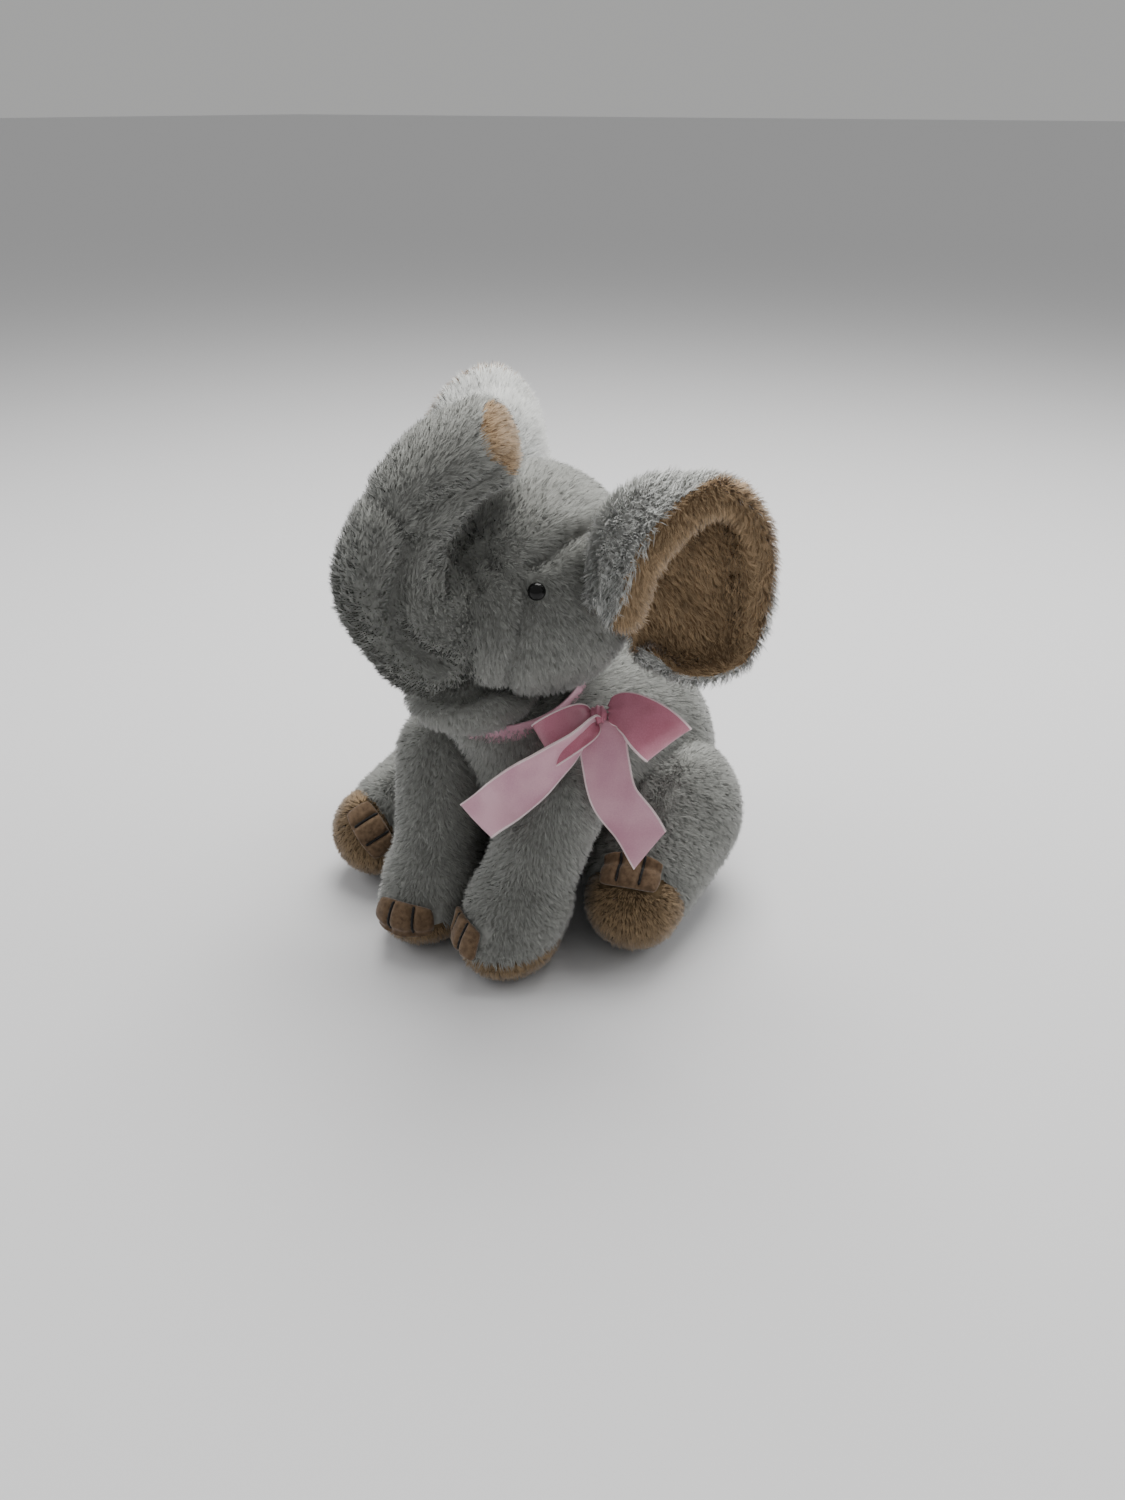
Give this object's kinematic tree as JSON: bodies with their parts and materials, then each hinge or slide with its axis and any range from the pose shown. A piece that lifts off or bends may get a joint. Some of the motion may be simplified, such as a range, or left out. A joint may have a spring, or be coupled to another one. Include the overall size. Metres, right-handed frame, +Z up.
{
  "type": "sitting plush elephant",
  "caption": "Seated stuffed elephant with a raised trunk, cupped ears, tan soles and a satin ribbon bow tied round its neck",
  "frame": {"origin": "centre of the whole toy's footprint box, on the surface it sits on", "axes": "+Z up; the body faces -Y and its own left side is +X; the head is turned 25 degrees to its right"},
  "size_m": [0.2498, 0.262, 0.2875],
  "materials": {
    "plush_grey": "short-pile grey plush, matt, brushed",
    "plush_grey_pale": "pale grey plush, matt, brushed",
    "plush_tan_lining": "tan plush, matt, longer pile at the rim",
    "plush_tan_sole": "tan short plush, matt",
    "suede_brown": "brown suede cloth, matt",
    "thread_black": "black embroidery thread",
    "satin_pink": "pale pink satin ribbon, soft sheen",
    "satin_rose": "rose satin ribbon in shade, soft sheen",
    "eye_black": "glossy black moulded button",
    "polyester_fibrefill": "white polyester fibre, matt",
    "pellet_bag": "cotton bag of plastic pellets",
    "nylon_washer": "white nylon lock washer"
  },
  "bodies": {
    "torso": {"torso_skin": "plush_grey", "torso_stuffing": "polyester_fibrefill", "seat_pellet_bag": "pellet_bag", "ribbon_band": "satin_pink", "ribbon_knot": "satin_rose", "ribbon_loop_back": "satin_rose", "ribbon_loop_front": "satin_rose"},
    "head": {"head_skin": "plush_grey", "forehead_gusset": "plush_grey", "head_stuffing": "polyester_fibrefill", "lower_jaw": "plush_grey", "eye_left": "eye_black", "eye_right": "eye_black", "eye_washer_left": "nylon_washer", "eye_washer_right": "nylon_washer"},
    "trunk_lower": {"trunk_lower_skin": "plush_grey", "trunk_lower_stuffing": "polyester_fibrefill"},
    "trunk_end": {"trunk_end_skin": "plush_grey", "trunk_end_stuffing": "polyester_fibrefill", "trunk_tip_patch": "plush_tan_lining"},
    "ear_left": {"ear_outer_left": "plush_grey_pale", "ear_lining_left": "plush_tan_lining"},
    "ear_right": {"ear_outer_right": "plush_grey_pale", "ear_lining_right": "plush_tan_lining"},
    "front_left_leg": {"front_left_leg_skin": "plush_grey", "front_left_leg_sole": "plush_tan_sole", "front_left_leg_stuffing": "polyester_fibrefill", "front_left_leg_toe_panel": "suede_brown", "front_left_leg_toe_stitch_inner": "thread_black", "front_left_leg_toe_stitch_outer": "thread_black"},
    "front_right_leg": {"front_right_leg_skin": "plush_grey", "front_right_leg_sole": "plush_tan_sole", "front_right_leg_stuffing": "polyester_fibrefill", "front_right_leg_toe_panel": "suede_brown", "front_right_leg_toe_stitch_inner": "thread_black", "front_right_leg_toe_stitch_outer": "thread_black"},
    "hind_left_leg": {"hind_left_leg_skin": "plush_grey", "hind_left_leg_sole": "plush_tan_sole", "hind_left_leg_stuffing": "polyester_fibrefill", "hind_left_leg_toe_panel": "suede_brown", "hind_left_leg_toe_stitch_inner": "thread_black", "hind_left_leg_toe_stitch_outer": "thread_black"},
    "hind_right_leg": {"hind_right_leg_skin": "plush_grey", "hind_right_leg_sole": "plush_tan_sole", "hind_right_leg_stuffing": "polyester_fibrefill", "hind_right_leg_toe_panel": "suede_brown", "hind_right_leg_toe_stitch_inner": "thread_black", "hind_right_leg_toe_stitch_outer": "thread_black"},
    "tail": {"tail": "plush_grey"},
    "ribbon_tail_front": {"ribbon_tail_front": "satin_pink"},
    "ribbon_tail_back": {"ribbon_tail_back": "satin_pink"}
  },
  "joints": [
    {"name": "neck_turn", "type": "hinge", "parent": "torso", "child": "head", "pos_m": [-0.0101, -0.04001, 0.142], "axis": [0, 0, 1], "range_deg": [-8, 8], "stiffness_Nm_per_rad": 0.5},
    {"name": "trunk_base_bend", "type": "hinge", "parent": "head", "child": "trunk_lower", "pos_m": [-0.02598, -0.08116, 0.183], "axis": [0.9063, -0.4226, 0], "range_deg": [-6, 6], "stiffness_Nm_per_rad": 1},
    {"name": "trunk_end_bend", "type": "hinge", "parent": "trunk_lower", "child": "trunk_end", "pos_m": [-0.02295, -0.0936, 0.247], "axis": [0.9063, -0.4226, 0], "range_deg": [-2, 12], "stiffness_Nm_per_rad": 0.6},
    {"name": "ear_left_fold", "type": "hinge", "parent": "head", "child": "ear_left", "pos_m": [0.05418, -0.03467, 0.21], "axis": [0, 0, 1], "range_deg": [-10, 10], "stiffness_Nm_per_rad": 0.06},
    {"name": "ear_right_fold", "type": "hinge", "parent": "head", "child": "ear_right", "pos_m": [-0.04733, 0.01266, 0.21], "axis": [0, 0, 1], "range_deg": [-10, 10], "stiffness_Nm_per_rad": 0.06},
    {"name": "front_left_leg_swing", "type": "hinge", "parent": "torso", "child": "front_left_leg", "pos_m": [0.0289, -0.05101, 0.093], "axis": [1, 0, 0], "range_deg": [-12, 0], "stiffness_Nm_per_rad": 1},
    {"name": "front_right_leg_swing", "type": "hinge", "parent": "torso", "child": "front_right_leg", "pos_m": [-0.0491, -0.05101, 0.093], "axis": [1, 0, 0], "range_deg": [-12, 0], "stiffness_Nm_per_rad": 1},
    {"name": "hind_left_leg_splay", "type": "hinge", "parent": "torso", "child": "hind_left_leg", "pos_m": [0.0469, 0.02399, 0.051], "axis": [0, 0, 1], "range_deg": [0, 12], "stiffness_Nm_per_rad": 1.5},
    {"name": "hind_right_leg_splay", "type": "hinge", "parent": "torso", "child": "hind_right_leg", "pos_m": [-0.0671, 0.02399, 0.051], "axis": [0, 0, 1], "range_deg": [-12, 0], "stiffness_Nm_per_rad": 1.5},
    {"name": "tail_swing", "type": "hinge", "parent": "torso", "child": "tail", "pos_m": [-0.0101, 0.09999, 0.052], "axis": [0, 0, 1], "range_deg": [-25, 25], "stiffness_Nm_per_rad": 0.01},
    {"name": "ribbon_tail_front_swing", "type": "hinge", "parent": "torso", "child": "ribbon_tail_front", "pos_m": [0.0479, -0.04701, 0.14], "axis": [-0.7507, -0.6606, 0], "range_deg": [0, 9]},
    {"name": "ribbon_tail_back_swing", "type": "hinge", "parent": "torso", "child": "ribbon_tail_back", "pos_m": [0.0479, -0.04701, 0.14], "axis": [-0.3401, -0.9404, 0], "range_deg": [0, 20]}
  ]
}
